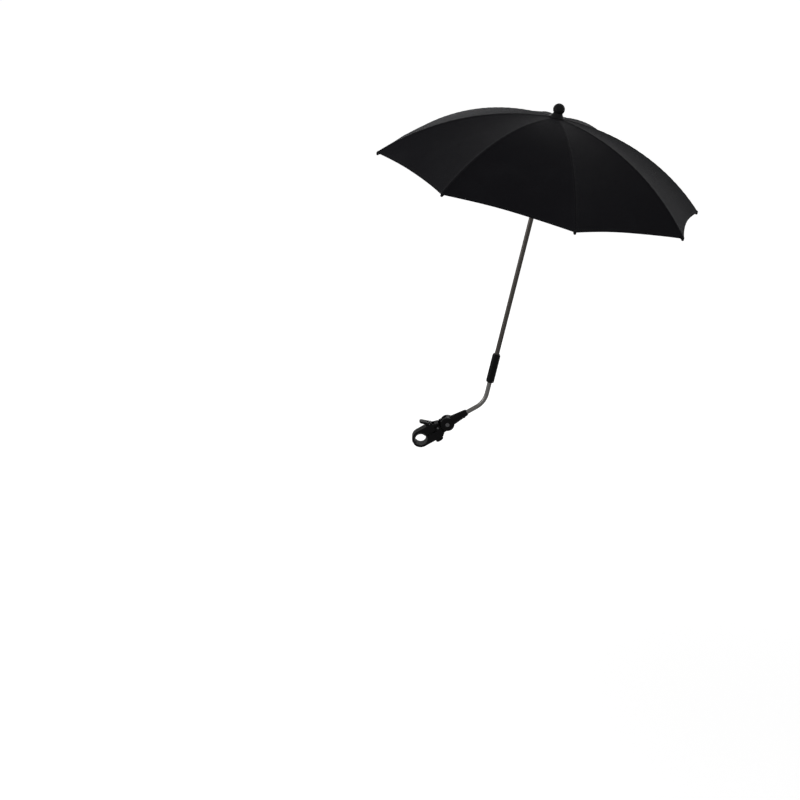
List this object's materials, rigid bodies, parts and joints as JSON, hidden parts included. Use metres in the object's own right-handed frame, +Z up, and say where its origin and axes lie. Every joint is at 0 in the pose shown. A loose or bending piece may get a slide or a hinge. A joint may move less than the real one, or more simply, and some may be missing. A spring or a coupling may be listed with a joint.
{
  "type": "pram parasol",
  "caption": "Folding pram parasol: a ribbed dome of dark cloth with a scalloped hem on a slim pole, with a bent rod, a tilt hinge and a lever clamp for a frame tube.",
  "frame": {"origin": "centre of the clamp's bore, on the axis of the frame tube that it grips", "axes": "+Y along the gripped tube, +X towards the side that the pole leans to, +Z up"},
  "size_m": [0.6178, 0.6316, 0.6907],
  "materials": {
    "cover": "woven, slight sheen",
    "black_plastic": "fine spark-eroded grain",
    "gloss_black": "glossy",
    "pole_steel": "satin",
    "rod_steel": "satin",
    "rib_steel": "satin",
    "zinc": "zinc plated",
    "pad_rubber": "matt"
  },
  "bodies": {
    "clamp": {"clamp_body": "black_plastic", "jaw_pin": "zinc", "lower_pad": "pad_rubber", "clamp_bolt": "zinc"},
    "jaw": {"clamp_jaw": "black_plastic", "upper_pad": "pad_rubber"},
    "lever": {"clamp_lever": "black_plastic", "lever_pin": "zinc"},
    "adjuster": {"adjuster_nut": "black_plastic"},
    "arm": {"socket_arm": "black_plastic", "arm_set_screw": "zinc", "tilt_bolt": "zinc", "tilt_washer": "zinc"},
    "knob": {"tilt_knob": "black_plastic"},
    "rod": {"bent_rod": "rod_steel", "coupling_sleeve": "black_plastic"},
    "mast": {"pole": "pole_steel", "ferrule": "gloss_black", "crown_washer": "zinc", "top_notch": "black_plastic", "notch_ring": "zinc", "upper_catch": "zinc", "lower_catch": "zinc", "runner_stop": "zinc"},
    "slider": {"runner": "black_plastic", "runner_ring": "zinc"},
    "rib_1": {"rib_1": "rib_steel", "rib_tip_1": "gloss_black", "canopy_panel_1": "cover"},
    "stretcher_1": {"stretcher_1": "rib_steel"},
    "rib_2": {"rib_2": "rib_steel", "rib_tip_2": "gloss_black", "canopy_panel_2": "cover"},
    "stretcher_2": {"stretcher_2": "rib_steel"},
    "rib_3": {"rib_3": "rib_steel", "rib_tip_3": "gloss_black", "canopy_panel_3": "cover"},
    "stretcher_3": {"stretcher_3": "rib_steel"},
    "rib_4": {"rib_4": "rib_steel", "rib_tip_4": "gloss_black", "canopy_panel_4": "cover"},
    "stretcher_4": {"stretcher_4": "rib_steel"},
    "rib_5": {"rib_5": "rib_steel", "rib_tip_5": "gloss_black", "canopy_panel_5": "cover"},
    "stretcher_5": {"stretcher_5": "rib_steel"},
    "rib_6": {"rib_6": "rib_steel", "rib_tip_6": "gloss_black", "canopy_panel_6": "cover"},
    "stretcher_6": {"stretcher_6": "rib_steel"},
    "rib_7": {"rib_7": "rib_steel", "rib_tip_7": "gloss_black", "canopy_panel_7": "cover"},
    "stretcher_7": {"stretcher_7": "rib_steel"},
    "rib_8": {"rib_8": "rib_steel", "rib_tip_8": "gloss_black", "canopy_panel_8": "cover"},
    "stretcher_8": {"stretcher_8": "rib_steel"}
  },
  "joints": [
    {"name": "lever_turn", "type": "hinge", "parent": "clamp", "child": "lever", "pos_m": [0.01746, 0, 0.03114], "axis": [0, 1, 0], "range_deg": [0, 110]},
    {"name": "jaw_open", "type": "hinge", "parent": "clamp", "child": "jaw", "pos_m": [0.03446, 0, 0.0242], "axis": [0, 1, 0], "range_deg": [0, 6]},
    {"name": "adjuster_turn", "type": "hinge", "parent": "clamp", "child": "adjuster", "pos_m": [0.03739, 0, -0.00203], "axis": [-0.515, 0, 0.8572], "continuous": true},
    {"name": "arm_tilt", "type": "hinge", "parent": "clamp", "child": "arm", "pos_m": [0.05314, 0, 0.03193], "axis": [0, 1, 0], "range_deg": [-75, 75]},
    {"name": "knob_turn", "type": "hinge", "parent": "arm", "child": "knob", "pos_m": [0.05314, 0.016, 0.03193], "axis": [0, 1, 0], "continuous": true},
    {"name": "rod_turn", "type": "hinge", "parent": "arm", "child": "rod", "pos_m": [0.07886, 0, 0.04738], "axis": [0.8572, 0, 0.515], "continuous": true},
    {"name": "pole_turn", "type": "hinge", "parent": "rod", "child": "mast", "pos_m": [0.14588, 0, 0.16419], "axis": [0.2113, 0, 0.9774], "continuous": true},
    {"name": "runner_slide", "type": "slide", "parent": "mast", "child": "slider", "axis": [-0.2113, 0, -0.9774], "range_m": [0, 0.20313], "deforming": ["canopy_panel_1", "canopy_panel_2", "canopy_panel_3", "canopy_panel_4", "canopy_panel_5", "canopy_panel_6", "canopy_panel_7", "canopy_panel_8", "upper_catch", "lower_catch"]},
    {"name": "rib_fold_1", "type": "hinge", "parent": "mast", "child": "rib_1", "pos_m": [0.25817, 0.001, 0.64124], "axis": [-0.109, 0.9938, 0.0236], "range_deg": [0, 66]},
    {"name": "stretcher_fold_1", "type": "hinge", "parent": "rib_1", "child": "stretcher_1", "pos_m": [0.40292, 0.01838, 0.5777], "axis": [0.109, -0.9938, -0.0236], "range_deg": [0, 112.13]},
    {"name": "rib_fold_2", "type": "hinge", "parent": "mast", "child": "rib_2", "pos_m": [0.25492, 0.00703, 0.64194], "axis": [-0.7639, 0.6239, 0.1652], "range_deg": [0, 66]},
    {"name": "stretcher_fold_2", "type": "hinge", "parent": "rib_2", "child": "stretcher_2", "pos_m": [0.34331, 0.12886, 0.59059], "axis": [0.7639, -0.6239, -0.1652], "range_deg": [0, 112.13]},
    {"name": "rib_fold_3", "type": "hinge", "parent": "mast", "child": "rib_3", "pos_m": [0.24845, 0.00894, 0.64334], "axis": [-0.9713, -0.1115, 0.21], "range_deg": [0, 66]},
    {"name": "stretcher_fold_3", "type": "hinge", "parent": "rib_3", "child": "stretcher_3", "pos_m": [0.22481, 0.16386, 0.61621], "axis": [0.9713, 0.1115, -0.21], "range_deg": [0, 112.13]},
    {"name": "rib_fold_4", "type": "hinge", "parent": "mast", "child": "rib_4", "pos_m": [0.24255, 0.00561, 0.64461], "axis": [-0.6098, -0.7815, 0.1318], "range_deg": [0, 66]},
    {"name": "stretcher_fold_4", "type": "hinge", "parent": "rib_4", "child": "stretcher_4", "pos_m": [0.11682, 0.10287, 0.63956], "axis": [0.6098, 0.7815, -0.1318], "range_deg": [0, 112.13]},
    {"name": "rib_fold_5", "type": "hinge", "parent": "mast", "child": "rib_5", "pos_m": [0.24069, -0.001, 0.64502], "axis": [0.109, -0.9938, -0.0236], "range_deg": [0, 66]},
    {"name": "stretcher_fold_5", "type": "hinge", "parent": "rib_5", "child": "stretcher_5", "pos_m": [0.08261, -0.01838, 0.64695], "axis": [-0.109, 0.9938, 0.0236], "range_deg": [0, 112.13]},
    {"name": "rib_fold_6", "type": "hinge", "parent": "mast", "child": "rib_6", "pos_m": [0.24394, -0.00703, 0.64431], "axis": [0.7639, -0.6239, -0.1652], "range_deg": [0, 66]},
    {"name": "stretcher_fold_6", "type": "hinge", "parent": "rib_6", "child": "stretcher_6", "pos_m": [0.14223, -0.12886, 0.63406], "axis": [-0.7639, 0.6239, 0.1652], "range_deg": [0, 112.13]},
    {"name": "rib_fold_7", "type": "hinge", "parent": "mast", "child": "rib_7", "pos_m": [0.25041, -0.00894, 0.64291], "axis": [0.9713, 0.1115, -0.21], "range_deg": [0, 66]},
    {"name": "stretcher_fold_7", "type": "hinge", "parent": "rib_7", "child": "stretcher_7", "pos_m": [0.26073, -0.16386, 0.60844], "axis": [-0.9713, -0.1115, 0.21], "range_deg": [0, 112.13]},
    {"name": "rib_fold_8", "type": "hinge", "parent": "mast", "child": "rib_8", "pos_m": [0.2563, -0.00561, 0.64164], "axis": [0.6098, 0.7815, -0.1318], "range_deg": [0, 66]},
    {"name": "stretcher_fold_8", "type": "hinge", "parent": "rib_8", "child": "stretcher_8", "pos_m": [0.36872, -0.10287, 0.58509], "axis": [-0.6098, -0.7815, 0.1318], "range_deg": [0, 112.13]}
  ],
  "couplings": [
    {"joint": "jaw_open", "follows": "lever_turn", "ratio": 0.054545},
    {"joint": "rib_fold_1", "follows": "runner_slide", "rad_per_m": 5.6709},
    {"joint": "stretcher_fold_1", "follows": "runner_slide", "rad_per_m": 9.6347},
    {"joint": "rib_fold_2", "follows": "runner_slide", "rad_per_m": 5.6709},
    {"joint": "stretcher_fold_2", "follows": "runner_slide", "rad_per_m": 9.6347},
    {"joint": "rib_fold_3", "follows": "runner_slide", "rad_per_m": 5.6709},
    {"joint": "stretcher_fold_3", "follows": "runner_slide", "rad_per_m": 9.6347},
    {"joint": "rib_fold_4", "follows": "runner_slide", "rad_per_m": 5.6709},
    {"joint": "stretcher_fold_4", "follows": "runner_slide", "rad_per_m": 9.6347},
    {"joint": "rib_fold_5", "follows": "runner_slide", "rad_per_m": 5.6709},
    {"joint": "stretcher_fold_5", "follows": "runner_slide", "rad_per_m": 9.6347},
    {"joint": "rib_fold_6", "follows": "runner_slide", "rad_per_m": 5.6709},
    {"joint": "stretcher_fold_6", "follows": "runner_slide", "rad_per_m": 9.6347},
    {"joint": "rib_fold_7", "follows": "runner_slide", "rad_per_m": 5.6709},
    {"joint": "stretcher_fold_7", "follows": "runner_slide", "rad_per_m": 9.6347},
    {"joint": "rib_fold_8", "follows": "runner_slide", "rad_per_m": 5.6709},
    {"joint": "stretcher_fold_8", "follows": "runner_slide", "rad_per_m": 9.6347}
  ]
}
